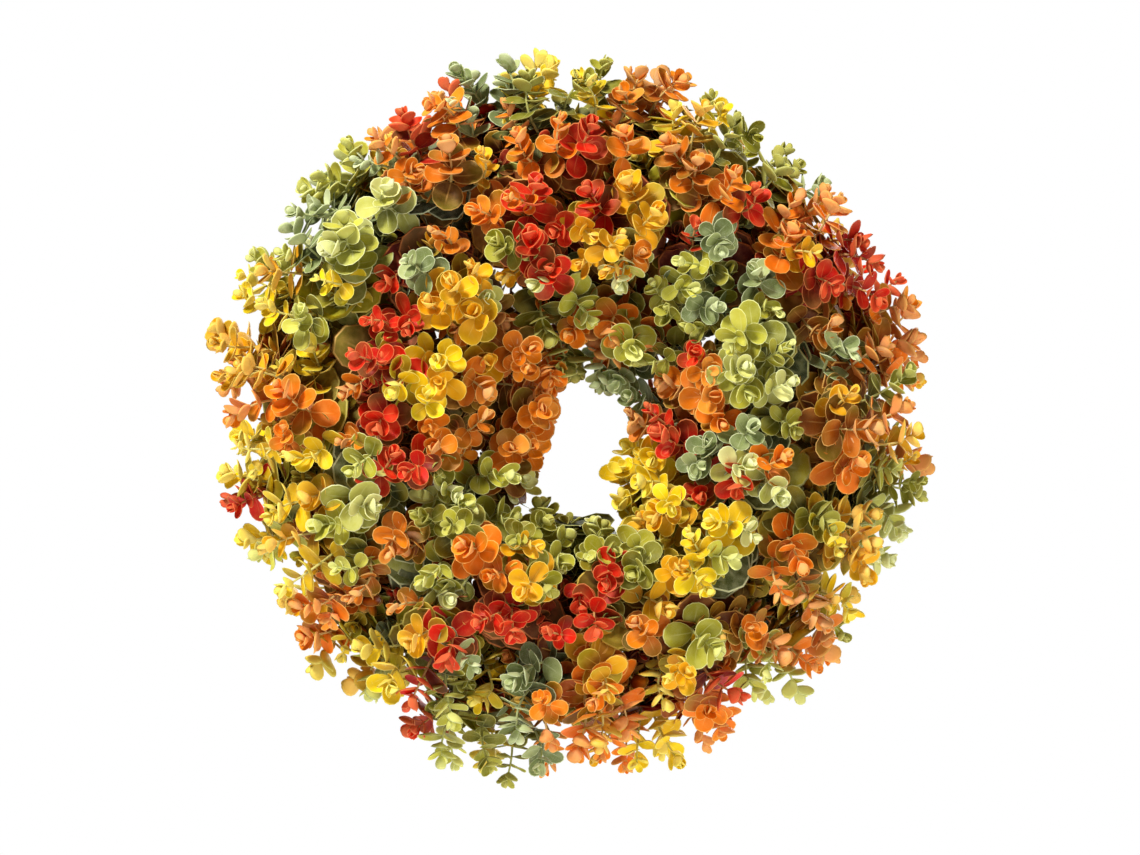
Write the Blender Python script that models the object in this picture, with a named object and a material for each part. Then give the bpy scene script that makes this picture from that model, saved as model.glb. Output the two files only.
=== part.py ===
"""A round artificial eucalyptus wreath in autumn colours, built on a box-section wire form.

Four ring wires and their cross braces make a channel. The stems of the foliage picks stand in
the channel in four rows, a binding wire is wound round the channel to hold them, and a wire loop
that swings on the outer back ring hangs the wreath up.

The wreath stands in the XZ plane with its front towards -Y. The origin is the hang point: the
inner top of the hanger loop, where a nail or hook sits. Lengths are in metres, angles in degrees.
"""

import math

import bmesh
import bpy
from mathutils import Matrix, Vector

# Wire form
RING_MEAN_RADIUS = 0.125       # middle of the channel
CHANNEL_WIDTH = 0.040          # from the inner ring wires to the outer ones
CHANNEL_DEPTH = 0.025          # from the back ring wires to the front ones
RING_WIRE_RADIUS = 0.00175     # to the flats of the drawn hexagon
RING_SEGMENTS = 48
RING_SIDES = 6                 # a vertex points outwards, so a flat faces the wall
BRACE_WIRE_RADIUS = 0.00125
BRACE_BEND_RADIUS = 0.002
BRACE_COUNT = 8
BRACE_START_ANGLE = 22.5       # clear of every stem
WELD_GAP = 0.0003

# Binding wire
BINDING_WIRE_RADIUS = 0.00045
BINDING_GAP = 0.0005
BINDING_PITCH = 15.0           # degrees of the ring for each turn
BINDING_PHASE = 7.5            # the front passes lie midway between the stems
BINDING_FIRST_TURN = 1         # the turns at the top are left out, where the hanger sits
BINDING_LAST_TURN = 23

# Hanger loop
HANGER_WIRE_RADIUS = 0.0008
HANGER_EYE_GAP = 0.0005
HANGER_HALF_WIDTH = 0.011
HANGER_LEG = 0.018             # from the hinge up to the start of the arch
HANGER_EYE_TURN = 290.0        # how far each eye wraps round the ring wire
HANGER_EYE_PITCH = 0.0026      # sideways travel of a full turn of an eye

# Foliage
STEM_RADIUS = 0.0016
STEM_INNER_END = 0.007         # from the middle of the channel
FOLIAGE_OUTWARD = 0.091        # reach from the middle of the channel, away from the opening
FOLIAGE_FORWARD = 0.097        # reach from the middle of the channel, towards the front
FOLIAGE_ROUNDNESS = 2.3        # 2 is an ellipse, more is squarer
FOLIAGE_BACK_GAP = 0.002       # behind the foliage, to the middle of the back ring wires
CHANNEL_CLEARANCE = 0.002      # from the binding wire to the foliage
CELL_FILL = 0.93               # share of its angular cell that a pick fills
PICK_SIDES = 10
OPENING_HALF_WIDTH = 0.021
OPENING_HALF_HEIGHT = 0.043
OPENING_OFFSET_X = 0.005
OPENING_OFFSET_Z = -0.012

# Each row: name, first pick's angle, angle at which its stems leave the channel, lowest and
# highest angle of its cell round the channel, colours by clock position and lengths. Angles
# round the channel run from 0, away from the opening, through 90, the front, to 180.
ROWS = (
    ("outer", 15.0, 4.0, (-16.0, 30.0),
     ("orange", "orange", "orange", "olive", "orange", "yellow",
      "lime", "yellow", "yellow", "yellow", "lime", "sage"),
     (1.0, 0.96, 1.0, 0.98, 0.95, 1.0, 1.02, 0.96, 1.0, 1.02, 0.97, 1.03)),
    ("shoulder", 0.0, 60.0, (31.0, 77.0),
     ("red", "red", "red", "yellow", "orange", "orange",
      "orange", "yellow", "lime", "orange", "yellow", "orange"),
     (1.0, 0.97, 1.0, 1.02, 0.97, 1.0, 1.0, 0.97, 1.0, 1.02, 0.98, 1.0)),
    ("front", 15.0, 100.0, (78.0, 128.0),
     ("orange", "sage", "lime", "red", "yellow", "lime",
      "orange", "lime", "red", "red", "olive", "red"),
     (1.0, 0.97, 1.02, 0.98, 1.0, 0.97, 1.0, 1.0, 0.98, 1.0, 0.95, 1.0)),
    ("inner", 0.0, 176.0, (129.0, 188.0),
     ("olive", "sage", "red", "yellow", "olive", "lime", "orange", "orange"),
     (1.0, 1.0, 1.0, 1.0, 1.0, 1.0, 1.0, 1.0)),
)

# Sections of a pick above its stem: how far along the foliage, and the share of the cell filled
PICK_SECTIONS = ((0.0, 0.5), (0.22, 0.93), (0.62, 1.0), (0.9, 0.8), (1.0, 0.42))
SECTION_SQUARENESS = 4.0       # 2 is an ellipse, more is squarer

# Colour, roughness and metallic value of each material
FINISHES = {
    "form_wire": ((0.02, 0.06, 0.03), 0.45, 0.0),
    "binding_wire": ((0.03, 0.09, 0.03), 0.5, 0.3),
    "hanger_wire": ((0.45, 0.45, 0.44), 0.3, 1.0),
    "red": ((0.62, 0.04, 0.02), 0.6, 0.0),
    "orange": ((0.75, 0.22, 0.02), 0.6, 0.0),
    "yellow": ((0.80, 0.52, 0.03), 0.6, 0.0),
    "lime": ((0.55, 0.62, 0.14), 0.6, 0.0),
    "sage": ((0.42, 0.50, 0.30), 0.65, 0.0),
    "olive": ((0.20, 0.24, 0.07), 0.65, 0.0),
}

# Sizes that follow from the driving dimensions
RING_CORNER_RADIUS = RING_WIRE_RADIUS / math.cos(math.pi / RING_SIDES)
BINDING_OFFSET = RING_CORNER_RADIUS + BINDING_GAP + BINDING_WIRE_RADIUS
EYE_RADIUS = RING_CORNER_RADIUS + HANGER_EYE_GAP + HANGER_WIRE_RADIUS
RING_OUTER_RADIUS = RING_MEAN_RADIUS + CHANNEL_WIDTH / 2
HINGE_HEIGHT = math.sqrt(RING_OUTER_RADIUS ** 2 - HANGER_HALF_WIDTH ** 2)
HANGER_INNER_HEIGHT = HANGER_LEG + HANGER_HALF_WIDTH - HANGER_WIRE_RADIUS
CENTRE_Z = -HINGE_HEIGHT - HANGER_INNER_HEIGHT
BACK_RING_Y = -EYE_RADIUS
MIDDLE_Y = BACK_RING_Y - CHANNEL_DEPTH / 2
FOLIAGE_START = (math.hypot(CHANNEL_WIDTH, CHANNEL_DEPTH) / 2 + BINDING_OFFSET
                 + BINDING_WIRE_RADIUS + CHANNEL_CLEARANCE)


def channel_point(distance, round_angle, ring_angle):
    """The point at a distance from the channel's middle, by its angle round the channel and its
    clock angle round the wreath."""
    turn = math.radians(round_angle)
    clock = math.radians(ring_angle)
    radius = RING_MEAN_RADIUS + distance * math.cos(turn)
    forward = distance * math.sin(turn)
    return Vector((radius * math.sin(clock), MIDDLE_Y - forward, CENTRE_Z + radius * math.cos(clock)))


def make_material(name):
    colour, roughness, metallic = FINISHES[name]
    material = bpy.data.materials.new(name)
    material.use_nodes = True
    shader = material.node_tree.nodes["Principled BSDF"]
    shader.inputs["Base Color"].default_value = (*colour, 1.0)
    shader.inputs["Roughness"].default_value = roughness
    shader.inputs["Metallic"].default_value = metallic
    material.diffuse_color = (*colour, 1.0)
    return material


def place(name, data, material):
    data.materials.append(material)
    obj = bpy.data.objects.new(name, data)
    bpy.context.scene.collection.objects.link(obj)
    return obj


def make_wire(name, points, radius, sides, material):
    """A round wire along the points, with closed ends."""
    curve = bpy.data.curves.new(name, "CURVE")
    curve.dimensions = "3D"
    curve.bevel_depth = radius
    curve.bevel_resolution = (sides - 4) // 2
    curve.use_fill_caps = True
    spline = curve.splines.new("POLY")
    spline.points.add(len(points) - 1)
    for spline_point, point in zip(spline.points, points):
        spline_point.co = (*point, 1.0)
    return place(name, curve, material)


def make_ring(name, radius, y, material):
    """A closed ring wire, made by turning its hexagonal section round the wreath's axis."""
    mesh = bpy.data.meshes.new(name)
    bm = bmesh.new()
    section = bmesh.ops.create_circle(
        bm, segments=RING_SIDES, radius=RING_CORNER_RADIUS,
        matrix=Matrix.Rotation(math.radians(30.0), 4, "Z"))["verts"]
    bmesh.ops.translate(bm, verts=section, vec=(radius, 0.0, 0.0))
    bmesh.ops.spin(bm, geom=bm.verts[:] + bm.edges[:], cent=(0.0, 0.0, 0.0), axis=(0.0, 1.0, 0.0),
                   angle=math.tau, steps=RING_SEGMENTS, use_merge=True)
    bmesh.ops.recalc_face_normals(bm, faces=bm.faces)
    bm.to_mesh(mesh)
    bm.free()
    mesh.shade_smooth()
    ring = place(name, mesh, material)
    ring.location = (0.0, y, CENTRE_Z)
    return ring


def make_rings(material):
    inner_radius = RING_MEAN_RADIUS - CHANNEL_WIDTH / 2
    front_y = BACK_RING_Y - CHANNEL_DEPTH
    make_ring("ring_wire_outer_back", RING_OUTER_RADIUS, BACK_RING_Y, material)
    make_ring("ring_wire_inner_back", inner_radius, BACK_RING_Y, material)
    make_ring("ring_wire_outer_front", RING_OUTER_RADIUS, front_y, material)
    make_ring("ring_wire_inner_front", inner_radius, front_y, material)


def brace_outline():
    """One cross brace in the channel's section, as (outward, forward) from its middle: a U that
    nests in the two back corners and butts on the two front wires."""
    reach = RING_CORNER_RADIUS + WELD_GAP + BRACE_WIRE_RADIUS
    inset = (reach - BRACE_BEND_RADIUS * (math.sqrt(2.0) - 1.0)) / math.sqrt(2.0)
    side = CHANNEL_WIDTH / 2 - inset
    back = -CHANNEL_DEPTH / 2 + inset
    front = CHANNEL_DEPTH / 2 - RING_CORNER_RADIUS - WELD_GAP
    half = [(side, front)]
    for angle in (0.0, 45.0, 90.0):
        bend = math.radians(angle)
        half.append((side - BRACE_BEND_RADIUS * (1.0 - math.cos(bend)),
                     back + BRACE_BEND_RADIUS * (1.0 - math.sin(bend))))
    return half + [(-outward, forward) for outward, forward in reversed(half)]


def make_braces(material):
    outline = brace_outline()
    for number in range(BRACE_COUNT):
        clock = math.radians(BRACE_START_ANGLE + 360.0 * number / BRACE_COUNT)
        outwards = Vector((math.sin(clock), 0.0, math.cos(clock)))
        middle = Vector((0.0, MIDDLE_Y, CENTRE_Z)) + outwards * RING_MEAN_RADIUS
        points = [middle + outwards * outward - Vector((0.0, forward, 0.0))
                  for outward, forward in outline]
        make_wire(f"cross_brace_{number + 1}", points, BRACE_WIRE_RADIUS, 6, material)


def binding_turn():
    """One turn of the binding wire as (outward, forward, share of the turn): straight across the
    channel's four sides, with two bends round each ring wire."""
    bend = BINDING_OFFSET / math.cos(math.radians(22.5))
    corners = ((-1.0, 1.0), (1.0, 1.0), (1.0, -1.0), (-1.0, -1.0))
    path = []
    for corner, (outward_sign, forward_sign) in enumerate(corners):
        for offset in (-22.5, 22.5):
            angle = math.radians(135.0 - 90.0 * corner - offset)
            path.append((outward_sign * CHANNEL_WIDTH / 2 + bend * math.cos(angle),
                         forward_sign * CHANNEL_DEPTH / 2 + bend * math.sin(angle)))
    steps = [math.dist(path[index - 1], path[index]) for index in range(len(path))]
    length = sum(steps)
    travelled = -steps[0] - (steps[1] + steps[2]) / 2.0
    turn = []
    for (outward, forward), step in zip(path, steps):
        travelled += step
        turn.append((outward, forward, travelled / length))
    return turn


def make_binding_wire(material):
    points = []
    for number in range(BINDING_FIRST_TURN, BINDING_LAST_TURN):
        for outward, forward, share in binding_turn():
            clock = BINDING_PHASE + BINDING_PITCH * (number + share)
            distance = math.hypot(outward, forward)
            round_angle = math.degrees(math.atan2(forward, outward))
            points.append(channel_point(distance, round_angle, clock))
    make_wire("binding_wire", points, BINDING_WIRE_RADIUS, 6, material)


def make_hanger_loop(material):
    """An arched wire loop whose two ends close into eyes round the outer back ring wire. Its
    origin is on the hinge, the line through the ring wire's centre at both eyes."""
    eye = []
    eye_steps = 10
    for step in range(eye_steps, -1, -1):
        share = step / eye_steps
        wrap = math.radians(HANGER_EYE_TURN * share)
        inward = HANGER_EYE_PITCH * HANGER_EYE_TURN / 360.0 * share
        eye.append(Vector((HANGER_HALF_WIDTH - inward, EYE_RADIUS * math.cos(wrap),
                           -EYE_RADIUS * math.sin(wrap))))
    arch_steps = 10
    arch = []
    for step in range(arch_steps + 1):
        angle = math.pi * step / arch_steps
        arch.append(Vector((HANGER_HALF_WIDTH * math.cos(angle), EYE_RADIUS,
                            HANGER_LEG + HANGER_HALF_WIDTH * math.sin(angle))))
    mirrored = [Vector((-point.x, point.y, point.z)) for point in reversed(eye)]
    loop = make_wire("hanger_loop", eye + arch + mirrored, HANGER_WIRE_RADIUS, 8, material)
    loop.location = (0.0, BACK_RING_Y, CENTRE_Z + HINGE_HEIGHT)


def opening_radius(ring_angle):
    """From the wreath's centre to the edge of the off-centre oval opening, by clock angle."""
    clock = math.radians(ring_angle)
    across = math.sin(clock) / OPENING_HALF_WIDTH
    up = math.cos(clock) / OPENING_HALF_HEIGHT
    offset_across = OPENING_OFFSET_X / OPENING_HALF_WIDTH
    offset_up = OPENING_OFFSET_Z / OPENING_HALF_HEIGHT
    a = across ** 2 + up ** 2
    b = across * offset_across + up * offset_up
    c = offset_across ** 2 + offset_up ** 2 - 1.0
    return (b + math.sqrt(b * b - a * c)) / a


def foliage_reach(round_angle, ring_angle):
    """From the channel's middle to the foliage's outer surface."""
    turn = math.radians(round_angle)
    sideways = FOLIAGE_OUTWARD
    if math.cos(turn) < 0.0:
        sideways = RING_MEAN_RADIUS - opening_radius(ring_angle)
    return (abs(math.cos(turn) / sideways) ** FOLIAGE_ROUNDNESS
            + abs(math.sin(turn) / FOLIAGE_FORWARD) ** FOLIAGE_ROUNDNESS) ** (-1.0 / FOLIAGE_ROUNDNESS)


def stem_section(distance, round_angle, ring_angle):
    """A round section of a stem, square to the stem."""
    turn = math.radians(round_angle)
    clock = math.radians(ring_angle)
    along_ring = Vector((math.cos(clock), 0.0, -math.sin(clock)))
    round_channel = Vector((-math.sin(turn) * math.sin(clock), -math.cos(turn),
                            -math.sin(turn) * math.cos(clock)))
    middle = channel_point(distance, round_angle, ring_angle)
    section = []
    for side in range(PICK_SIDES):
        angle = math.tau * (side + 0.5) / PICK_SIDES
        section.append(middle + STEM_RADIUS * (math.cos(angle) * along_ring
                                               + math.sin(angle) * round_channel))
    return section


def foliage_section(along, fill, length, cell, ring_angle, ring_step):
    """A section of the foliage: a rounded rectangle in its cell, pressed flat at the wall side."""
    low, high = cell
    section = []
    for side in range(PICK_SIDES):
        angle = math.tau * (side + 0.5) / PICK_SIDES
        across = math.copysign(abs(math.cos(angle)) ** (2.0 / SECTION_SQUARENESS), math.cos(angle))
        up = math.copysign(abs(math.sin(angle)) ** (2.0 / SECTION_SQUARENESS), math.sin(angle))
        share = CELL_FILL * fill / 2.0
        vertex_clock = ring_angle + across * share * ring_step
        vertex_turn = (low + high) / 2.0 + up * share * (high - low)
        reach = length * foliage_reach(vertex_turn, vertex_clock)
        distance = FOLIAGE_START + along * (reach - FOLIAGE_START)
        point = channel_point(distance, vertex_turn, vertex_clock)
        point.y = min(point.y, BACK_RING_Y - FOLIAGE_BACK_GAP)
        section.append(point)
    return section


def make_pick(name, sections, material):
    """One closed body lofted through the sections, which all have the same number of points."""
    mesh = bpy.data.meshes.new(name)
    bm = bmesh.new()
    loops = [[bm.verts.new(point) for point in section] for section in sections]
    for lower, upper in zip(loops, loops[1:]):
        for side in range(PICK_SIDES):
            after = (side + 1) % PICK_SIDES
            bm.faces.new((lower[side], lower[after], upper[after], upper[side]))
    bm.faces.new(list(reversed(loops[0])))
    bm.faces.new(loops[-1])
    bmesh.ops.recalc_face_normals(bm, faces=bm.faces)
    bm.to_mesh(mesh)
    bm.free()
    mesh.shade_smooth()
    place(name, mesh, material)


def make_picks(materials):
    for row, first_angle, stem_angle, cell, colours, lengths in ROWS:
        ring_step = 360.0 / len(colours)
        for number, (colour, length) in enumerate(zip(colours, lengths)):
            ring_angle = first_angle + number * ring_step
            sections = [stem_section(STEM_INNER_END, stem_angle, ring_angle),
                        stem_section(FOLIAGE_START - CHANNEL_CLEARANCE, stem_angle, ring_angle)]
            for along, fill in PICK_SECTIONS:
                sections.append(foliage_section(along, fill, length, cell, ring_angle, ring_step))
            make_pick(f"{row}_pick_{number + 1:02d}", sections, materials[colour])


def main():
    for obj in list(bpy.data.objects):
        bpy.data.objects.remove(obj, do_unlink=True)
    materials = {name: make_material(name) for name in FINISHES}
    make_rings(materials["form_wire"])
    make_braces(materials["form_wire"])
    make_binding_wire(materials["binding_wire"])
    make_hanger_loop(materials["hanger_wire"])
    make_picks(materials)


main()
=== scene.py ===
"""Looks of the autumn eucalyptus wreath: sprigs of small round leaves on a painted wire form.

Every place is worked out from the CAD frame. Lengths are in metres, and angles are in radians
unless a comment says degrees. A clock angle runs round the wreath from its top, clockwise as
seen from the front. An angle round the channel is 0 away from the opening and a quarter turn
to the front.
"""

import math
from collections import namedtuple

import bpy
import numpy as np
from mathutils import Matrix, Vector
from mathutils.bvhtree import BVHTree


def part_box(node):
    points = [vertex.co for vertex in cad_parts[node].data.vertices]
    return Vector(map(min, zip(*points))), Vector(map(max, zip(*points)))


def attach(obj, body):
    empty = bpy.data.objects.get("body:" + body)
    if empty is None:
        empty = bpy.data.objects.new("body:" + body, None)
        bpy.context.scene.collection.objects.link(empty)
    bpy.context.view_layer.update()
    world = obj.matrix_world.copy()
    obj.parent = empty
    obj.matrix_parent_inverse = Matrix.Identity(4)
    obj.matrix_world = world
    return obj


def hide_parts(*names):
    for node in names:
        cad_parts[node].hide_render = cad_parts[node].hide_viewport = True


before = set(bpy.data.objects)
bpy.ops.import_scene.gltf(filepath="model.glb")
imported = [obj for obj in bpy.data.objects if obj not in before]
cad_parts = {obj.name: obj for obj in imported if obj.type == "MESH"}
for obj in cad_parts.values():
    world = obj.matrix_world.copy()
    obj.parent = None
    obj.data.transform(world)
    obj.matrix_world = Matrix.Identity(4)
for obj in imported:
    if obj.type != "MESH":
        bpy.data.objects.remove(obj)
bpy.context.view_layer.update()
RANDOM = np.random.default_rng(20)

# Leaves, from the tip of a sprig down to its base
LEAF_ANGLES = (20.0, 36.0, 50.0, 60.0, 68.0, 75.0, 81.0, 86.0, 90.0, 94.0, 96.0)  # degrees from the stem
LEAF_LENGTHS = (0.0070, 0.0097, 0.0119, 0.0138, 0.0153, 0.0165, 0.0174, 0.0183, 0.0194, 0.0208, 0.0220)
INTERNODES = (0.0010, 0.0024, 0.0036, 0.0048, 0.0058, 0.0066, 0.0072, 0.0078, 0.0082, 0.0084, 0.0086)
LEAF_THICKNESS = 0.0005
OLD_LEAF_LENGTH = 0.0300   # the leaves deep inside, round a pick's own stem

# Stems
STEM_TIP_RADIUS = 0.00055
STEM_BASE_RADIUS = 0.00125
STEM_SIDES = 7
BARE_STEM = 0.006          # a sprig's stem has no leaves this near its base
FIRST_BRANCH = 0.009       # how far out on a pick's stem its first sprig branches off
BRANCHING = 0.015          # how far along the stem the others follow
PICK_STEM_RADIUS = 0.0016
PICK_STEM_LENGTH = 0.055
PICK_STEM_SIDES = 10
STEM_END = 0.0015          # a CAD stem's vertices this near its inner end are that end's
BODY_START = 0.035         # a CAD pick's body is at least this far out from the channel's middle

# The back of the wreath, where the wall and the hanger are
MOST_STANDOFF = 0.013      # a sprig's leaves flatten up to this far before the wall
WALL_SQUEEZE = 0.018       # leaves flatten over this depth where they press against the wall
HANGER_CLEARANCE = 0.009   # how far forward the leaves stand off round the hanger
HANGER_MARGIN = 0.002      # and how far beside it
HANGER_DROP = 0.004        # and how far below it
HANGER_EASE = 0.012        # the hollow round it fades out over this width

# How far the sprigs' tips lean over, as a share of their outward direction
LEANS = {"outer": 0.9, "shoulder": 2.0, "front": 2.6, "inner": 1.7}

# How far those leans favour the way out from the wreath's middle, against any other way
OUTWARD_BIAS = {"outer": 0.0, "shoulder": 1.5, "front": 1.0, "inner": 0.0}

# How many sprigs stand side by side in each belt of a pick's cell, belts counted round the
# channel from its outer side
BELTS = {"outer": (5, 4), "shoulder": (5, 4), "front": (3, 3, 3), "inner": (3, 3, 2)}

# Places for the shorter sprigs between them, one for every second sprig, so at most four of
# these are filled; and for the old ones deep inside
FILLER_BELTS = {"outer": (2, 2), "shoulder": (3, 2), "front": (2, 2), "inner": (2, 2)}
CORE_PLACES = ((-1.0, -0.4), (1.0, 0.4), (0.0, 1.0))

# A leaf's age runs from 0 at a sprig's tip to 1 deep inside. Its colour darkens with age, partly as its
# own ageing and partly as painted shade deep inside. These are the ages of the youngest leaves on the
# sprigs whose tips show, on those between them, deep inside, and on a pick's stem.
TIP_AGE = 0.0
FILLER_AGE = 0.55
CORE_AGE = 0.80
PICK_STEM_AGE = 0.95
PLAIN_AGE = 0.74           # leaves older than this are modelled more simply
SHORTER = {TIP_AGE: 0.0, FILLER_AGE: 0.28, CORE_AGE: 0.36}     # how much less far out they stand

# How far the sprigs' tips stand, as a share of the CAD's outline: the outer picks clockwise from
# the top, and the inner picks, which droop into the opening at the top and stand back below
OUTER_REACHES = (0.95, 0.88, 1.00, 1.02, 1.05, 1.04, 1.06, 1.00, 0.96, 1.01, 0.93, 0.95)
INNER_REACH = 0.965
INNER_DROOP = 0.085
INNER_SIDEWAYS = 0.040
INNER_NARROWING = 0.050
REACH_SPREAD = 0.035       # how unevenly the tips stand
LEAST_REACH = 0.088        # where a pick has no surface in that direction

# The camera, the floor and the light
LENS = 90.0                # millimetres
SENSOR = 36.0              # millimetres
FRAME_WIDTH = 0.678        # what the camera's frame takes in at the wreath's front
FRONT_DEPTH = 0.030        # that front is this far before the channel's middle
CAMERA_DROP = 0.010        # the camera aims this far below the ring's centre
FLOOR_RADIUS = 2.0
FLOOR_DROP = 0.75
FLOOR_SIDES = 96
SURROUND_LIGHT = 0.11
LIGHTS = (                 # name, place, size and power in watts
    ("key", (-0.95, -1.3, 1.35), 0.42, 60.0),
    ("fill", (1.2, -1.2, -0.2), 1.0, 9.0),
    ("back", (0.7, 1.4, 0.5), 1.0, 26.0),
)

# The wire form
ROUND_WIRE = 1.03          # a round wire's radius, as a share of the CAD's flat-to-flat half width
HEXAGON = math.cos(math.pi / 6.0)      # a hexagon's half width over its corner radius
RING_STEPS = 240
RING_SIDES = 12

# The planting plan: the colour of each pick's sprigs, clockwise from the top, belt by belt
PLAN = {
    "outer": (
        "yellow orange rust orange olive olive rust orange yellow",
        "gold olive olive sage gold olive olive orange gold",
        "gold red orange orange gold red orange orange orange",
        "olive orange olive pale pale gold olive pale pale",
        "gold olive orange lime lime yellow rust orange lime",
        "red orange yellow orange gold orange yellow yellow orange",
        "orange olive yellow lime red sage olive lime red",
        "yellow gold yellow orange yellow lime yellow orange gold",
        "yellow yellow red yellow yellow lime red yellow yellow",
        "orange gold gold yellow lime gold gold yellow lime",
        "pale lime sage pale orange sage lime lime gold",
        "red red sage sage yellow orange sage sage yellow",
    ),
    "shoulder": (
        "orange olive yellow olive rust orange orange red orange",
        "yellow gold olive olive olive rust rust orange red",
        "orange orange red red red orange gold red rust",
        "orange olive orange gold olive sage gold rust orange",
        "gold gold gold gold rust olive yellow orange orange",
        "orange lime red orange yellow rust lime gold yellow",
        "orange gold orange orange sage gold orange orange sage",
        "yellow lime red yellow yellow sage red gold rust",
        "orange orange yellow gold yellow rust lime lime gold",
        "yellow yellow orange gold gold yellow orange orange yellow",
        "yellow gold lime sage sage lime yellow pale lime",
        "sage orange red orange sage pale rust rust gold",
    ),
    "front": (
        "red gold gold gold gold rust gold gold pale",
        "red sage sage lime lime sage lime olive olive",
        "lime lime pale lime pale lime red rust rust",
        "lime orange pale sage pale red orange sage sage",
        "pale lime yellow yellow yellow gold red yellow gold",
        "gold rust red olive red red lime olive lime",
        "red red red olive gold orange lime gold olive",
        "pale lime rust orange olive olive lime lime pale",
        "pale lime rust red red red olive rust orange",
        "rust red red yellow red red yellow gold yellow",
        "red sage rust gold gold gold rust gold pale",
        "orange orange red olive red red gold pale red",
    ),
    "inner": (
        "olive orange lime olive olive orange lime olive",
        "orange lime olive orange sage sage lime sage",
        "rust red red sage rust rust red rust",
        "yellow yellow gold yellow yellow yellow yellow yellow",
        "olive lime olive lime olive olive lime olive",
        "lime lime rust pale rust orange rust rust",
        "orange rust rust orange rust rust orange rust",
        "gold rust rust rust orange orange orange orange",
    ),
}

# A colour family: the record's slot, tip leaves, grown leaves, old leaves (dark, and painting the shade
# deep inside), rim, underside and the tone that older leaves turn towards at their ends; then how far
# its youngest leaves take on the rim's pale tone, and how much of the powdery bloom shows
Family = namedtuple("Family", "slot young grown old rim underside turned bud_glow powder")

FAMILIES = {
    "red": Family(
        slot="leaf_red",
        young=(0.87, 0.02, 0.001), grown=(0.62, 0.006, 0.0), old=(0.08, 0.004, 0.001),
        rim=(0.86, 0.27, 0.08), underside=(0.66, 0.17, 0.06), turned=(0.13, 0.075, 0.012),
        bud_glow=0.35, powder=0.03,
    ),
    "orange": Family(
        slot="leaf_orange",
        young=(0.98, 0.305, 0.001), grown=(0.88, 0.18, 0.001), old=(0.15, 0.027, 0.002),
        rim=(0.94, 0.52, 0.12), underside=(0.88, 0.5, 0.2), turned=(0.34, 0.2, 0.004),
        bud_glow=0.20, powder=0.03,
    ),
    "rust": Family(
        slot="leaf_orange",
        young=(0.92, 0.275, 0.002), grown=(0.64, 0.145, 0.001), old=(0.07, 0.027, 0.003),
        rim=(0.84, 0.48, 0.13), underside=(0.78, 0.5, 0.22), turned=(0.19, 0.155, 0.01),
        bud_glow=0.30, powder=0.04,
    ),
    "gold": Family(
        slot="leaf_yellow",
        young=(0.98, 0.56, 0.001), grown=(0.86, 0.385, 0.001), old=(0.13, 0.052, 0.003),
        rim=(0.92, 0.66, 0.12), underside=(0.86, 0.62, 0.18), turned=(0.38, 0.3, 0.005),
        bud_glow=0.30, powder=0.03,
    ),
    "yellow": Family(
        slot="leaf_yellow",
        young=(0.98, 0.75, 0.001), grown=(0.9, 0.56, 0.001), old=(0.15, 0.095, 0.003),
        rim=(0.95, 0.84, 0.2), underside=(0.88, 0.76, 0.22), turned=(0.46, 0.43, 0.008),
        bud_glow=0.45, powder=0.03,
    ),
    "pale": Family(
        slot="leaf_lime",
        young=(0.92, 0.88, 0.38), grown=(0.6, 0.58, 0.11), old=(0.042, 0.052, 0.01),
        rim=(0.9, 0.92, 0.5), underside=(0.7, 0.72, 0.34), turned=(0.52, 0.51, 0.07),
        bud_glow=0.85, powder=0.12,
    ),
    "lime": Family(
        slot="leaf_lime",
        young=(0.82, 0.76, 0.1), grown=(0.43, 0.4, 0.024), old=(0.028, 0.036, 0.006),
        rim=(0.84, 0.86, 0.36), underside=(0.62, 0.63, 0.2), turned=(0.48, 0.4, 0.015),
        bud_glow=0.60, powder=0.10,
    ),
    "sage": Family(
        slot="leaf_sage",
        young=(0.54, 0.59, 0.23), grown=(0.23, 0.275, 0.08), old=(0.018, 0.028, 0.01),
        rim=(0.78, 0.83, 0.48), underside=(0.52, 0.57, 0.28), turned=(0.14, 0.18, 0.05),
        bud_glow=0.65, powder=0.20,
    ),
    "olive": Family(
        slot="leaf_olive",
        young=(0.48, 0.43, 0.01), grown=(0.21, 0.195, 0.006), old=(0.017, 0.021, 0.004),
        rim=(0.72, 0.7, 0.22), underside=(0.48, 0.46, 0.12), turned=(0.32, 0.215, 0.005),
        bud_glow=0.40, powder=0.08,
    ),
}


# ---------------------------------------------------------------- measures of the frame

def ring_measures():
    """The wire form's sizes, from the boxes of its ring wires."""
    low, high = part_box("ring_wire_outer_back")
    inner_low, inner_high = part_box("ring_wire_inner_back")
    front_low, front_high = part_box("ring_wire_outer_front")
    wire = (high.y - low.y) / 2.0
    corner = wire / HEXAGON
    outer = (high.x - low.x) / 2.0 - corner
    inner = (inner_high.x - inner_low.x) / 2.0 - corner
    return {
        "wire": wire,
        "mean": (outer + inner) / 2.0,
        "back_y": (low.y + high.y) / 2.0,
        "front_y": (front_low.y + front_high.y) / 2.0,
        "centre_z": (low.z + high.z) / 2.0,
    }


def hanger_measures():
    """The hollow that the leaves leave round the hanger: its half width and its lowest level."""
    low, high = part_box("hanger_loop")
    return {"half_width": (high.x - low.x) / 2.0 + HANGER_MARGIN, "low": low.z - HANGER_DROP}


RING = ring_measures()
HANGER = hanger_measures()
MIDDLE_Y = (RING["back_y"] + RING["front_y"]) / 2.0
BACK_LIMIT = RING["back_y"] + RING["wire"]      # the plane of the wall behind the wreath


def channel_direction(turn, clock):
    """The unit vector from the channel's middle, at an angle round it and a clock angle."""
    outward = math.cos(turn)
    return Vector((outward * math.sin(clock), -math.sin(turn), outward * math.cos(clock)))


def channel_middle(clock):
    """A point on the circle that runs along the middle of the channel."""
    return Vector((RING["mean"] * math.sin(clock), MIDDLE_Y,
                   RING["centre_z"] + RING["mean"] * math.cos(clock)))


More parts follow.
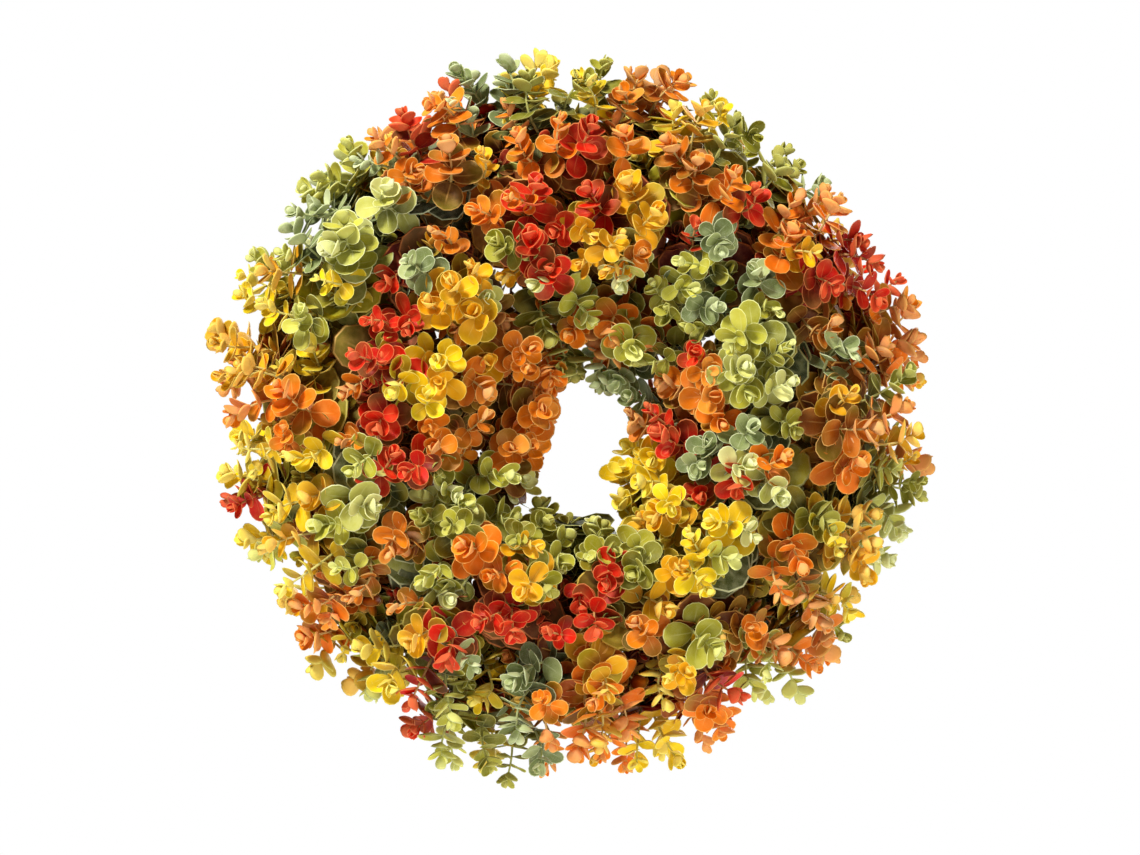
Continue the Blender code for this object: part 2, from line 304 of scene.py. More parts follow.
def channel_angles(point):
    """A point's distance from the channel's middle, angle round the channel and clock angle."""
    clock = math.atan2(point.x, point.z - RING["centre_z"])
    outward = math.hypot(point.x, point.z - RING["centre_z"]) - RING["mean"]
    forward = MIDDLE_Y - point.y
    return math.hypot(outward, forward), math.atan2(forward, outward), clock


# ---------------------------------------------------------------- node materials

class Nodes:
    """Short calls for building a material's node tree."""

    def __init__(self, name):
        self.material = bpy.data.materials.new(name)
        self.material.use_nodes = True
        self.tree = self.material.node_tree
        self.shader = self.tree.nodes["Principled BSDF"]

    def link(self, source, target):
        self.tree.links.new(source, target)

    def feed(self, socket, value):
        if isinstance(value, bpy.types.NodeSocket):
            self.link(value, socket)
        elif isinstance(value, tuple) and len(value) == 3 and socket.type == "RGBA":
            socket.default_value = (*value, 1.0)
        else:
            socket.default_value = value

    def math(self, operation, first, second=0.0, clamp=False):
        node = self.tree.nodes.new("ShaderNodeMath")
        node.operation = operation
        node.use_clamp = clamp
        for socket, value in zip(node.inputs, (first, second)):
            self.feed(socket, value)
        return node.outputs[0]

    def product(self, first, second):
        return self.math("MULTIPLY", first, second)

    def reverse(self, value):
        return self.math("SUBTRACT", 1.0, value)

    def mix(self, factor, first, second):
        """The first colour at factor 0, the second at 1."""
        node = self.tree.nodes.new("ShaderNodeMix")
        node.data_type = "RGBA"
        self.feed(self.socket(node.inputs, "Factor_Float"), factor)
        self.feed(self.socket(node.inputs, "A_Color"), first)
        self.feed(self.socket(node.inputs, "B_Color"), second)
        return self.socket(node.outputs, "Result_Color")

    def socket(self, sockets, identifier):
        return next(socket for socket in sockets if socket.identifier == identifier)

    def ramp(self, value, low, high):
        """0 below low, 1 above high, smooth between."""
        node = self.tree.nodes.new("ShaderNodeMapRange")
        node.interpolation_type = "SMOOTHSTEP"
        self.feed(node.inputs["Value"], value)
        node.inputs["From Min"].default_value = low
        node.inputs["From Max"].default_value = high
        return node.outputs["Result"]

    def noise(self, scale, detail):
        """Noise over the object, with about scale blots to the metre."""
        place = self.tree.nodes.new("ShaderNodeTexCoord")
        node = self.tree.nodes.new("ShaderNodeTexNoise")
        node.inputs["Scale"].default_value = scale
        node.inputs["Detail"].default_value = detail
        self.link(place.outputs["Object"], node.inputs["Vector"])
        return node.outputs["Fac"]

    def attribute(self, name):
        """The three parts of a vector that the mesh holds at every point."""
        node = self.tree.nodes.new("ShaderNodeAttribute")
        node.attribute_name = name
        split = self.tree.nodes.new("ShaderNodeSeparateXYZ")
        self.link(node.outputs["Vector"], split.inputs[0])
        return split.outputs

    def bump(self, height, distance, strength):
        node = self.tree.nodes.new("ShaderNodeBump")
        node.inputs["Strength"].default_value = strength
        node.inputs["Distance"].default_value = distance
        self.feed(node.inputs["Height"], height)
        self.link(node.outputs["Normal"], self.shader.inputs["Normal"])

    def set(self, name, value):
        self.feed(self.shader.inputs[name], value)


def aged_shaded_colour(nodes, family, fade_and_shade, along, tint, age):
    """From the bud's pale tone through the young and grown tones to the old, dark one, which paints
    shade on the leaves deep inside. Some older leaves turn to another tone towards their ends."""
    colour = nodes.mix(nodes.ramp(fade_and_shade, 0.0, 0.38), family.young, family.grown)
    # towards the old tone, partly real ageing and partly painted shade on the deep leaves
    colour = nodes.mix(nodes.ramp(fade_and_shade, 0.34, 0.84), colour, family.old)
    bud = nodes.reverse(nodes.ramp(fade_and_shade, 0.0, 0.16))
    colour = nodes.mix(nodes.product(bud, family.bud_glow), colour, family.rim)
    turning = nodes.product(nodes.ramp(tint, 0.35, 0.80), nodes.ramp(age, 0.15, 0.45))
    turning = nodes.product(turning, nodes.ramp(along, 0.20, 0.95))
    return nodes.mix(nodes.product(turning, 0.75), colour, family.turned)


def clouded(nodes, family, colour, along):
    """Faint lighter clouds, and a darker heart where the leaf meets its stem."""
    lighter = nodes.mix(0.14, colour, family.rim)
    darker = nodes.mix(0.45, colour, family.old)
    clouds = nodes.ramp(nodes.noise(150.0, 3.0), 0.38, 0.68)
    colour = nodes.mix(clouds, colour, lighter)
    heart = nodes.ramp(nodes.reverse(along), 0.55, 1.0)
    return nodes.mix(nodes.product(heart, 0.65), colour, darker)


def leaf_material(name):
    """A printed plastic leaf: brightest at the sprig's tip, darker and duller with age, and darkest deep
    inside, where the old tone paints shade; cloudy, with a pale rim that is partly its moulded edge and
    partly a painted edge highlight, a faint midrib and a paler underside. The mesh's "leaf" attribute
    says how far along, across and out from its middle a point is, and "habit" holds the leaf's
    tint and age, and 1 on its upper side."""
    family = FAMILIES[name]
    nodes = Nodes("leaf_" + name)
    along, across, out = nodes.attribute("leaf")
    tint, age, top = nodes.attribute("habit")
    sway = nodes.product(nodes.math("SUBTRACT", tint, 0.5), 0.42)
    # the leaf's age with a little random sway; it also carries the painted shade on the deep leaves
    fade_and_shade = nodes.math("ADD", age, sway, clamp=True)
    colour = aged_shaded_colour(nodes, family, fade_and_shade, along, tint, age)
    colour = clouded(nodes, family, colour, along)

    midrib = nodes.reverse(nodes.ramp(nodes.math("ABSOLUTE", across), 0.01, 0.08))
    midrib = nodes.product(midrib, nodes.reverse(nodes.ramp(along, 0.45, 0.85)))
    colour = nodes.mix(nodes.product(midrib, 0.30), colour, family.rim)

    under = nodes.reverse(nodes.ramp(top, 0.30, 0.60))
    pale = nodes.mix(nodes.ramp(fade_and_shade, 0.25, 0.85), family.underside, family.grown)
    blush = nodes.math("SUBTRACT", 0.85, nodes.product(nodes.ramp(along, 0.25, 0.95), 0.45))
    colour = nodes.mix(nodes.product(under, blush), colour, pale)

    # A pale band at the leaf's edge: partly its own moulded edge, partly a painted edge highlight
    rim_share = nodes.math("SUBTRACT", 0.92, nodes.product(fade_and_shade, 0.30))
    rim_and_edge_highlight = nodes.product(nodes.ramp(out, 0.915, 0.965), rim_share)
    colour = nodes.mix(rim_and_edge_highlight, colour, family.rim)
    powder = nodes.ramp(nodes.noise(2600.0, 2.0), 0.50, 0.75)
    colour = nodes.mix(nodes.product(powder, family.powder), colour, (0.85, 0.86, 0.74))

    nodes.set("Base Color", colour)
    nodes.set("Roughness", nodes.math("ADD", 0.38, nodes.product(nodes.noise(900.0, 2.0), 0.24)))
    nodes.set("Specular IOR Level", 0.16)
    grain = nodes.product(nodes.noise(1500.0, 3.0), 0.4)
    nodes.bump(nodes.math("ADD", nodes.product(midrib, 0.7), grain), 0.00022, 0.6)
    return nodes.material


def stem_material(name):
    """A moulded stem in a duller, paler tone of its leaves, browner towards its base."""
    family = FAMILIES[name]
    nodes = Nodes("stem_" + name)
    along, _, _ = nodes.attribute("leaf")
    bark = nodes.mix(nodes.noise(300.0, 4.0), (0.10, 0.075, 0.03), (0.22, 0.19, 0.07))
    green = nodes.mix(0.55, family.underside, (0.40, 0.42, 0.12))
    colour = nodes.mix(nodes.ramp(along, 0.25, 0.85), bark, green)
    streak = nodes.ramp(nodes.noise(1400.0, 3.0), 0.45, 0.7)
    colour = nodes.mix(nodes.product(streak, 0.25), colour, family.rim)
    nodes.set("Base Color", colour)
    nodes.set("Roughness", nodes.math("ADD", 0.45, nodes.product(streak, 0.2)))
    nodes.bump(nodes.noise(1200.0, 4.0), 0.0003, 0.5)
    return nodes.material


# ---------------------------------------------------------------- leaves

def leaf_template(points, top_rings, bottom_rings):
    """(radius, angle, side) of every vertex of a leaf, and its faces. The leaf is a thin closed
    body: a top skin, a rounded rim and a bottom skin, each a set of rings round a middle point."""
    rings = [(radius, 1.0) for radius in top_rings] + [(1.0, 0.0)]
    rings += [(radius, -1.0) for radius in bottom_rings]
    vertices = [(0.0, 0.0, 1.0)]
    for radius, side in rings:
        for point in range(points):
            vertices.append((radius, math.tau * point / points, side))
    vertices.append((0.0, 0.0, -1.0))
    last = len(vertices) - 1
    end = 1 + (len(rings) - 1) * points
    faces = []
    for point in range(points):
        after = (point + 1) % points
        faces.append((0, 1 + point, 1 + after))
        for ring in range(len(rings) - 1):
            here = 1 + ring * points
            below = here + points
            faces.append((here + point, below + point, below + after))
            faces.append((here + point, below + after, here + after))
        faces.append((end + point, last, end + after))
    return np.array(vertices), np.array(faces)


FINE_LEAF = leaf_template(14, (0.55, 0.93), (0.80,))
PLAIN_LEAF = leaf_template(10, (0.92,), ())      # for the old leaves deep inside
LEAF_SLOT, STEM_SLOT = 0, 1                      # places in a piece's list of materials
STEM_HABIT = (0.5, 0.5, 1.0)


def leaf_shape(template, length, broad, roundness, cup, fold, curl, ripple):
    """One leaf's vertices from its base at the origin along +X, its upper side towards +Z, and
    how far along, across and out from its middle each one is."""
    radius, angle, side = template.T
    along = 0.5 + 0.5 * radius * np.cos(angle)
    across = radius * np.sin(angle)
    taper = 1.0 - (1.0 - roundness) * (1.0 - along) ** 1.2
    width = length * 0.50 * broad
    x = along * length
    y = across * width * taper
    lift = cup * radius ** 2 * length * 0.5
    lift = lift + fold * np.abs(y) + curl * along ** 2 * length
    lift = lift + ripple * length * radius ** 2 * np.sin(3.0 * angle + 40.0 * ripple)
    z = lift + side * LEAF_THICKNESS * 0.5 * (1.0 - 0.25 * radius)
    return np.stack([x, y, z], axis=1), np.stack([along, across, radius], axis=1)


# ---------------------------------------------------------------- sprigs

def bezier(start, handle, near_tip, tip, share):
    """The point at that share of the curve from start to tip."""
    back = 1.0 - share
    return (start * back ** 3 + handle * 3.0 * back ** 2 * share
            + near_tip * 3.0 * back * share ** 2 + tip * share ** 3)


def stem_path(start, start_direction, tip, tip_direction, steps=40):
    """Points along a stem's curve, evenly spaced from base to tip, and the curve's length."""
    reach = float(np.linalg.norm(tip - start))
    handle = start + start_direction * reach * 0.38
    near_tip = tip - tip_direction * reach * 0.42
    dense = np.array([bezier(start, handle, near_tip, tip, step / 200.0) for step in range(201)])
    lengths = np.concatenate([[0.0], np.cumsum(np.linalg.norm(np.diff(dense, axis=0), axis=1))])
    even = np.linspace(0.0, lengths[-1], steps + 1)
    return np.stack([np.interp(even, lengths, dense[:, axis]) for axis in range(3)], axis=1), lengths[-1]


def frames_along(path):
    """The tangent and two side vectors at every point, which turn as little as they can."""
    tangents = np.gradient(path, axis=0)
    tangents /= np.linalg.norm(tangents, axis=1)[:, None]
    first = np.cross(tangents[0], (0.31, 0.22, 0.92))
    first /= np.linalg.norm(first)
    sides = [first]
    for tangent in tangents[1:]:
        side = sides[-1] - tangent * np.dot(sides[-1], tangent)
        sides.append(side / np.linalg.norm(side))
    sides = np.array(sides)
    return tangents, sides, np.cross(tangents, sides)


class MeshParts:
    """Collects the vertices, faces, attributes and material numbers of one piece."""

    def __init__(self):
        self.standoff = 0.0      # how far before the wall the next leaves flatten
        self.points = []
        self.faces = []
        self.leaf = []
        self.habit = []
        self.slots = []
        self.count = 0

    def add(self, points, faces, leaf, habit, slot):
        """Adds a leaf or a stem, pressed back from the wall."""
        self.points.append(press_back(points, self.standoff))
        self.faces.append(faces + self.count)
        self.leaf.append(leaf)
        self.habit.append(np.broadcast_to(habit, points.shape))
        self.slots.append(np.full(len(faces), slot))
        self.count += len(points)

    def build(self, name, materials):
        """One mesh object of everything that was added."""
        points = np.concatenate(self.points)
        faces = np.concatenate(self.faces)
        mesh = bpy.data.meshes.new(name)
        mesh.vertices.add(len(points))
        mesh.vertices.foreach_set("co", points.ravel())
        mesh.loops.add(len(faces) * 3)
        mesh.loops.foreach_set("vertex_index", faces.ravel().astype(np.int32))
        mesh.polygons.add(len(faces))
        mesh.polygons.foreach_set("loop_start", np.arange(0, len(faces) * 3, 3, dtype=np.int32))
        mesh.polygons.foreach_set("material_index", np.concatenate(self.slots).astype(np.int32))
        mesh.update(calc_edges=True)
        for label, values in (("leaf", self.leaf), ("habit", self.habit)):
            attribute = mesh.attributes.new(label, "FLOAT_VECTOR", "POINT")
            attribute.data.foreach_set("vector", np.concatenate(values).ravel())
        mesh.shade_smooth()
        for material in materials:
            mesh.materials.append(material)
        obj = bpy.data.objects.new(name, mesh)
        bpy.context.scene.collection.objects.link(obj)
        return obj


def tube_faces(rings, sides):
    """Faces of a tube of that many rings, with both ends closed by a middle point that comes
    after the rings: first the start's, then the end's."""
    faces = []
    for ring in range(rings - 1):
        for side in range(sides):
            after = (side + 1) % sides
            here = ring * sides
            faces.append((here + side, here + after, here + sides + side))
            faces.append((here + after, here + sides + after, here + sides + side))
    start, end = rings * sides, rings * sides + 1
    last = (rings - 1) * sides
    for side in range(sides):
        after = (side + 1) % sides
        faces.append((start, after, side))
        faces.append((end, last + side, last + after))
    return np.array(faces)


def add_tube(parts, path, radii, sides):
    """A round stem along the path, with a blunt point at both ends."""
    tangents, first, second = frames_along(path)
    angles = math.tau * np.arange(sides) / sides
    circle = first[:, None, :] * np.cos(angles)[None, :, None]
    circle = circle + second[:, None, :] * np.sin(angles)[None, :, None]
    points = (path[:, None, :] + circle * radii[:, None, None]).reshape(-1, 3)
    points = np.concatenate([points, path[:1] - tangents[:1] * radii[0] * 0.5,
                             path[-1:] + tangents[-1:] * radii[-1] * 0.8])
    along = np.concatenate([np.repeat(np.linspace(0.0, 1.0, len(path)), sides), [0.0, 1.0]])
    leaf = np.stack([along, np.zeros_like(along), np.zeros_like(along)], axis=1)
    parts.add(points, tube_faces(len(path), sides), leaf, STEM_HABIT, STEM_SLOT)


def add_leaf(parts, base, tangent, side, angle, length, age, tint, broad=1.0):
    """A leaf that stands at an angle in degrees from the stem's direction, its upper side to the
    tip. Young leaves are cupped and slim, and old ones are flat, round and bent back."""
    lean = math.radians(angle)
    x_axis = math.cos(lean) * tangent + math.sin(lean) * side
    z_axis = math.sin(lean) * tangent - math.cos(lean) * side
    y_axis = np.cross(z_axis, x_axis)
    twist = math.radians(RANDOM.normal(0.0, 9.0))
    y_axis, z_axis = (math.cos(twist) * y_axis + math.sin(twist) * z_axis,
                      math.cos(twist) * z_axis - math.sin(twist) * y_axis)
    cup = 0.42 - 0.42 * age + RANDOM.normal(0.0, 0.10)
    fold = 0.10 + RANDOM.normal(0.0, 0.06)
    curl = 0.05 - 0.22 * age + RANDOM.normal(0.0, 0.07)
    ripple = RANDOM.normal(0.0, 0.022)
    roundness = 0.50 + 0.42 * age + RANDOM.normal(0.0, 0.06)
    template, faces = PLAIN_LEAF if age > PLAIN_AGE else FINE_LEAF
    shape, leaf = leaf_shape(template, length, broad, roundness, cup, fold, curl, ripple)
    points = base + shape @ np.stack([x_axis, y_axis, z_axis])
    habit = np.empty_like(points)
    habit[:, 0] = tint
    habit[:, 1] = age
    habit[:, 2] = (template[:, 2] + 1.0) / 2.0
    parts.add(points, faces, leaf, habit, LEAF_SLOT)


def press_back(points, standoff):
    """Flattens what would stand behind the wreath's back, as the wall does, and keeps a clear
    hollow round the hanger."""
    limit = np.full(len(points), BACK_LIMIT - standoff)
    aside = np.clip((np.abs(points[:, 0]) - HANGER["half_width"]) / HANGER_EASE, 0.0, 1.0)
    below = np.clip((HANGER["low"] - points[:, 2]) / HANGER_EASE, 0.0, 1.0)
    near = (1.0 - aside) * (1.0 - below)
    limit -= HANGER_CLEARANCE * near * near * (3.0 - 2.0 * near)
    knee = limit - WALL_SQUEEZE
    over = np.maximum(points[:, 1] - knee, 0.0)
    pressed = knee + WALL_SQUEEZE * (1.0 - np.exp(-over / WALL_SQUEEZE))
    return np.stack([points[:, 0], np.where(over > 0.0, pressed, points[:, 1]), points[:, 2]], axis=1)


def add_sprig(parts, start, start_direction, tip, tip_direction, size, youngest):
    """A stem with opposite pairs of leaves, each pair a quarter turn from the next, that shrink
    and close up towards the tip. Some sprigs are leafy and some airy. youngest is the age of the
    leaves at its tip."""
    parts.standoff = RANDOM.uniform(0.0, MOST_STANDOFF)
    path, length = stem_path(start, start_direction, tip, tip_direction)
    tangents, first, second = frames_along(path)
    steps = len(path) - 1
    radii = np.linspace(STEM_BASE_RADIUS, STEM_TIP_RADIUS, len(path))
    add_tube(parts, path[::2], radii[::2], STEM_SIDES)
    turn = RANDOM.uniform(0.0, math.tau)
    openness = RANDOM.normal(2.0, 7.0)
    airy = RANDOM.uniform() ** 1.5
    spacing = size * (0.88 + 0.62 * airy)
    growth = size * (1.06 - 0.22 * airy)
    down = 0.0
    for pair, (angle, leaf_length, gap) in enumerate(zip(LEAF_ANGLES, LEAF_LENGTHS, INTERNODES)):
        down += gap * spacing
        if down > length - BARE_STEM:
            break
        place = (1.0 - down / length) * steps      # in steps of the path, from its base
        index = min(int(place), steps - 1)
        share = place - index
        base = path[index] * (1.0 - share) + path[index + 1] * share
        age = youngest + (1.0 - youngest) * (pair / (len(LEAF_ANGLES) - 1)) ** 0.9
        for half in range(2):
            around = turn + half * math.pi + math.radians(RANDOM.normal(0.0, 10.0))
            side = math.cos(around) * first[index] + math.sin(around) * second[index]
            lean = angle + openness + RANDOM.normal(0.0, 8.0)
            scale = growth * (1.0 + RANDOM.normal(0.0, 0.08))
            add_leaf(parts, base + side * radii[index] * 0.6, tangents[index], side, lean,
                     leaf_length * scale, age, RANDOM.uniform(), 1.0 - 0.16 * airy)
        turn += math.pi / 2.0 + math.radians(RANDOM.normal(0.0, 6.0))


# ---------------------------------------------------------------- picks

def pick_cell(node):
    """Where a pick stands: its stem's inner end and direction, the middle of its cell and the
    cell's half widths along the ring and round the channel, in radians, and its surface."""
    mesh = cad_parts[node].data
    points = [vertex.co.copy() for vertex in mesh.vertices]
    tree = BVHTree.FromPolygons(points, [tuple(polygon.vertices) for polygon in mesh.polygons])
    measures = [channel_angles(point) for point in points]
    nearest = min(distance for distance, _, _ in measures)
    ends = [point for point, measure in zip(points, measures) if measure[0] < nearest + STEM_END]
    start = sum(ends, Vector()) / len(ends)
    _, stem_turn, clock = channel_angles(start)
    far = [measure for measure in measures if measure[0] > 2.0 * RING["wire"] + BODY_START]
    turns = [turn % math.tau if turn < -math.pi / 2 else turn for _, turn, _ in far]
    offsets = [(angle - clock + math.pi) % math.tau - math.pi for _, _, angle in far]
    return {
        "start": start,
        "direction": channel_direction(stem_turn, clock),
        "clock": clock,
        "half_step": max(offsets),
        "turn": (min(turns) + max(turns)) / 2.0,
        "half_turn": (max(turns) - min(turns)) / 2.0,
        "surface": tree,
    }


def surface_distance(cell, turn, clock):
    """From the channel's middle to the pick's outer surface in that direction."""
    middle = channel_middle(clock)
    direction = channel_direction(turn, clock)
    far = 0.4
    hit = cell["surface"].ray_cast(middle + direction * far, -direction)
    return far - hit[3] if hit[0] else None


def tip_places(belts):
    """Where the tips of a pick's sprigs stand in its cell: shares of its half width along the
    ring and round the channel, from -1 to 1, belt by belt."""
    places = []
    for belt, count in enumerate(belts):
        around = (2.0 * belt + 1.0) / len(belts) - 1.0
        stagger = (0.25 if belt % 2 else -0.25) / count
        for number in range(count):
            along = (2.0 * number + 1.0) / count - 1.0 + stagger
            places.append((along + RANDOM.normal(0.0, 0.07), around * 1.02 + RANDOM.normal(0.0, 0.08)))
    return places


def make_pick(row, node, colours):
    """A pick's sprigs, whose tips fill its cell, then shorter, older ones between them that
    close the gaps, one piece for each colour, and the stem that they branch from."""
    cell = pick_cell(node)
    groups = {family: MeshParts() for family in dict.fromkeys(colours)}
    for number, (family, place) in enumerate(zip(colours, tip_places(BELTS[row]))):
        grow_sprig(groups[family], row, cell, number / len(colours), place, TIP_AGE)
    for number, (family, place) in enumerate(zip(colours[1::2], tip_places(FILLER_BELTS[row]))):
        grow_sprig(groups[family], row, cell, number / len(colours), place, FILLER_AGE)
    for number, place in enumerate(CORE_PLACES):
        grow_sprig(groups[colours[2 * number]], row, cell, number / len(colours), place, CORE_AGE)
    add_pick_stem(groups[colours[0]], cell)
    for family, parts in groups.items():
        materials = [LEAF_MATERIALS[family], STEM_MATERIALS[family]]
        piece = parts.build(f"{node}_{family}_sprigs", materials)
        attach(piece, "wreath")
        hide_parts(node)


def reach_of(row, clock):
    """How far a row's tips stand at that clock angle, as a share of the CAD's outline."""
    if row == "outer":
        step = math.tau / len(OUTER_REACHES)
        return OUTER_REACHES[int((clock % math.tau) / step)]
    if row == "inner":
        droop = INNER_DROOP * math.cos(clock) - INNER_SIDEWAYS * math.sin(clock)
        return INNER_REACH + droop + INNER_NARROWING * math.sin(clock) ** 2
    return 1.0


def grow_sprig(parts, row, cell, share, place, youngest):
    """One sprig from the pick's stem to its place in the cell, with its tip leaning over. share
    says how far along the stem it branches off."""
    along, around = place
    clock = cell["clock"] + along * cell["half_step"]
    turn = cell["turn"] + around * cell["half_turn"]
    distance = surface_distance(cell, turn, clock) or LEAST_REACH
    distance *= reach_of(row, clock) + RANDOM.normal(0.0, REACH_SPREAD) - SHORTER[youngest]
    outward = channel_direction(turn, clock)
    tip = channel_middle(clock) + outward * distance
    start = cell["start"] + cell["direction"] * (FIRST_BRANCH + BRANCHING * share)
    lean = Vector(RANDOM.normal(0.0, 1.0, 3)) + channel_direction(0.0, clock) * OUTWARD_BIAS[row]
    lean -= outward * lean.dot(outward)
    lean = lean.normalized() * LEANS[row] * RANDOM.uniform(0.4, 1.0)
    tip_direction = (outward + lean).normalized()
    size = 1.0 + RANDOM.normal(0.0, 0.08)
    add_sprig(parts, np.array(start), np.array(cell["direction"]), np.array(tip),
              np.array(tip_direction), size, youngest)


def add_pick_stem(parts, cell):
    """The stout stem in the channel that a pick's sprigs branch from, with its old leaves, dark with
    painted shade.
    """
    start = np.array(cell["start"])
    direction = np.array(cell["direction"])
    shares = np.linspace(0.0, 1.0, 16)
    path = start + direction * (shares * PICK_STEM_LENGTH)[:, None]
    add_tube(parts, path, PICK_STEM_RADIUS * (1.0 - 0.45 * shares), PICK_STEM_SIDES)
    tangents, first, second = frames_along(path)
    turn = RANDOM.uniform(0.0, math.tau)
    for place in np.linspace(0.42, 0.98, 7):
        index = int(place * (len(path) - 1))
        for third in range(3):
            around = turn + third * math.tau / 3.0 + math.radians(RANDOM.normal(0.0, 12.0))
            side = math.cos(around) * first[index] + math.sin(around) * second[index]
            add_leaf(parts, path[index], tangents[index], side, RANDOM.normal(78.0, 9.0),
                     OLD_LEAF_LENGTH, PICK_STEM_AGE, RANDOM.uniform())
        turn += math.pi / 3.0


def make_picks():
    """Every pick in the plan. A row's picks are numbered clockwise from the top."""
    for row, plan in PLAN.items():
        for number, colours in enumerate(plan):
            make_pick(row, f"{row}_pick_{number + 1:02d}", colours.split())


# ---------------------------------------------------------------- stage

def make_stage():
    """A round pale floor well below the wreath."""
    turns = [math.tau * step / FLOOR_SIDES for step in range(FLOOR_SIDES)]
    rim = [(FLOOR_RADIUS * math.cos(turn), FLOOR_RADIUS * math.sin(turn), -FLOOR_DROP) for turn in turns]
    mesh = bpy.data.meshes.new("floor")
    mesh.from_pydata(rim, [], [tuple(range(FLOOR_SIDES))])
    floor = bpy.data.objects.new("floor", mesh)
    bpy.context.scene.collection.objects.link(floor)
    nodes = Nodes("floor")
    speckle = nodes.ramp(nodes.noise(60.0, 4.0), 0.35, 0.75)
    nodes.set("Base Color", nodes.mix(speckle, (0.90, 0.90, 0.89), (0.84, 0.84, 0.83)))
    nodes.set("Roughness", 0.9)
    nodes.set("Emission Color", (1.0, 1.0, 1.0))
    nodes.set("Emission Strength", 0.45)
    mesh.materials.append(nodes.material)


def make_camera():
    """Straight in front of the wreath, as in the photograph."""
    camera = bpy.data.cameras.new("camera")
    camera.sensor_width = SENSOR
    camera.lens = LENS
    obj = bpy.data.objects.new("camera", camera)
    distance = LENS / SENSOR * FRAME_WIDTH
    obj.location = (0.0, MIDDLE_Y - FRONT_DEPTH - distance, RING["centre_z"] - CAMERA_DROP)
    obj.rotation_euler = (math.radians(90.0), 0.0, 0.0)
    bpy.context.scene.collection.objects.link(obj)
    bpy.context.scene.camera = obj


def make_light(name, place, size, power):
    """A square soft light that aims at the middle of the wreath."""
    light = bpy.data.lights.new(name, "AREA")
    light.shape = "SQUARE"
    light.size = size
    light.energy = power
    obj = bpy.data.objects.new(name, light)
    obj.location = place
    aim = Vector((0.0, MIDDLE_Y, RING["centre_z"])) - Vector(place)
    obj.rotation_euler = aim.to_track_quat("-Z", "Y").to_euler()
    bpy.context.scene.collection.objects.link(obj)


def make_lights():
    """A white surround that the camera sees in full and that lights the wreath only faintly, a
    soft key light high on the left, a weak fill and a soft light from behind."""
    world = bpy.data.worlds.new("studio")
    bpy.context.scene.world = world
    world.use_nodes = True
    tree = world.node_tree
    surround = tree.nodes["Background"]
    surround.inputs["Color"].default_value = (1.0, 1.0, 1.0, 1.0)
    sight = tree.nodes.new("ShaderNodeLightPath")
    strength = tree.nodes.new("ShaderNodeMapRange")
    strength.inputs["To Min"].default_value = SURROUND_LIGHT
    strength.inputs["To Max"].default_value = 1.0
    tree.links.new(sight.outputs["Is Camera Ray"], strength.inputs["Value"])
    tree.links.new(strength.outputs["Result"], surround.inputs["Strength"])
    for name, place, size, power in LIGHTS:
        make_light(name, place, size, power)
    bpy.context.scene.view_settings.view_transform = "Standard"


# ---------------------------------------------------------------- wire

def wire_material(name, paint, bare, roughness, metal, chips):
    """Drawn wire: paint or zinc with a fine grain, dust and small bare chips."""
    nodes = Nodes(name)
    cloud = nodes.ramp(nodes.noise(180.0, 4.0), 0.35, 0.70)
    colour = nodes.mix(nodes.product(cloud, 0.45), paint, tuple(0.55 * part for part in paint))
    chip = nodes.product(nodes.ramp(nodes.noise(650.0, 5.0), 0.68, 0.71), chips)
    colour = nodes.mix(chip, colour, bare)
    dust = nodes.ramp(nodes.noise(1900.0, 3.0), 0.52, 0.80)
    colour = nodes.mix(nodes.product(dust, 0.22), colour, (0.42, 0.42, 0.36))
    nodes.set("Base Color", colour)
    nodes.set("Metallic", metal)
    nodes.set("Roughness", nodes.math("ADD", roughness, nodes.product(cloud, 0.18)))
    relief = nodes.math("SUBTRACT", nodes.noise(1400.0, 4.0), nodes.product(chip, 0.6))
    nodes.bump(relief, 0.0002, 0.5)
    return nodes.material


def wear(node, material):
    """Gives a CAD node that keeps its shape its finished material."""
    for slot in node.material_slots:
        slot.material = material


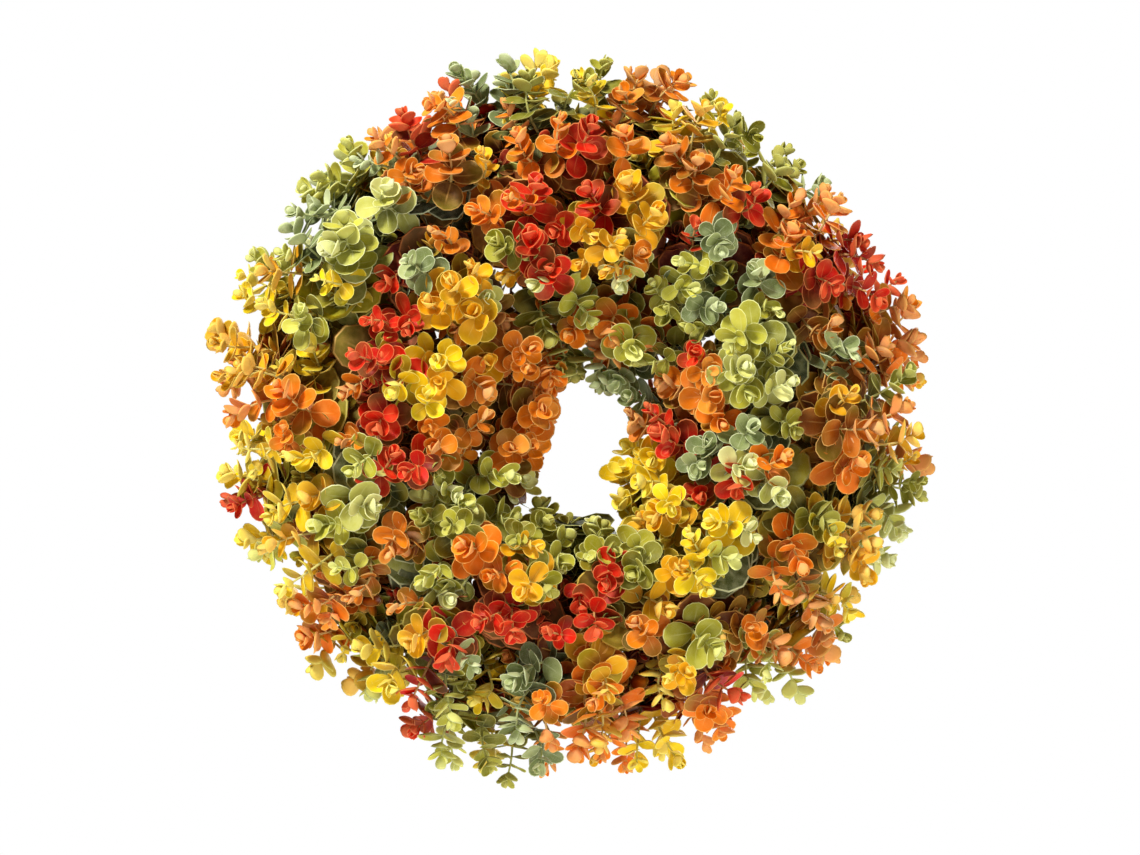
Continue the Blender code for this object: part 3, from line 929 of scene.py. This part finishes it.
def make_ring(node, material):
    """A round-drawn ring wire in place of the CAD's faceted one."""
    low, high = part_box(node)
    centre_y = (low.y + high.y) / 2.0
    flat = (high.y - low.y) / 2.0
    radius = (high.x - low.x) / 2.0 - flat / HEXAGON
    wire = flat * ROUND_WIRE
    clock = math.tau * np.arange(RING_STEPS) / RING_STEPS
    turn = math.tau * np.arange(RING_SIDES) / RING_SIDES
    reach = radius + wire * np.cos(turn)[None, :]
    depth = np.broadcast_to(centre_y + wire * np.sin(turn), (RING_STEPS, RING_SIDES))
    points = np.stack([reach * np.sin(clock)[:, None], depth,
                       RING["centre_z"] + reach * np.cos(clock)[:, None]], axis=2).reshape(-1, 3)
    step, side = np.meshgrid(np.arange(RING_STEPS), np.arange(RING_SIDES), indexing="ij")
    after = (side + 1) % RING_SIDES
    row, next_row = step * RING_SIDES, (step + 1) % RING_STEPS * RING_SIDES
    near = np.stack([row + side, row + after, next_row + side], axis=2)
    far = np.stack([row + after, next_row + after, next_row + side], axis=2)
    faces = np.concatenate([near.reshape(-1, 3), far.reshape(-1, 3)])
    parts = MeshParts()
    parts.points.append(points)      # not through add, because the ring itself rests on the wall
    parts.faces.append(faces)
    parts.leaf.append(np.zeros_like(points))
    parts.habit.append(np.zeros_like(points))
    parts.slots.append(np.zeros(len(faces)))
    piece = parts.build("form_" + node, [material])
    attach(piece, "wreath")
    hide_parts(node)


def dress_wires():
    """Round wires for the form's rings, and the wire materials on the CAD's other wires."""
    form = wire_material("form_wire", (0.012, 0.060, 0.030), (0.30, 0.29, 0.27), 0.38, 0.0, 1.0)
    binding = wire_material("binding_wire", (0.020, 0.085, 0.035), (0.34, 0.33, 0.30), 0.42, 0.0, 0.7)
    hanger = wire_material("hanger_wire", (0.46, 0.47, 0.47), (0.24, 0.23, 0.22), 0.30, 0.9, 0.6)
    for name, node in list(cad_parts.items()):
        if name.startswith("ring_wire"):
            make_ring(name, form)
        if name.startswith("cross_brace"):
            wear(node, form)
        if name == "binding_wire":
            wear(node, binding)
        if name == "hanger_loop":
            wear(node, hanger)


make_camera()
make_stage()
make_lights()
dress_wires()
LEAF_MATERIALS = {family: leaf_material(family) for family in FAMILIES}
STEM_MATERIALS = {family: stem_material(family) for family in FAMILIES}
make_picks()
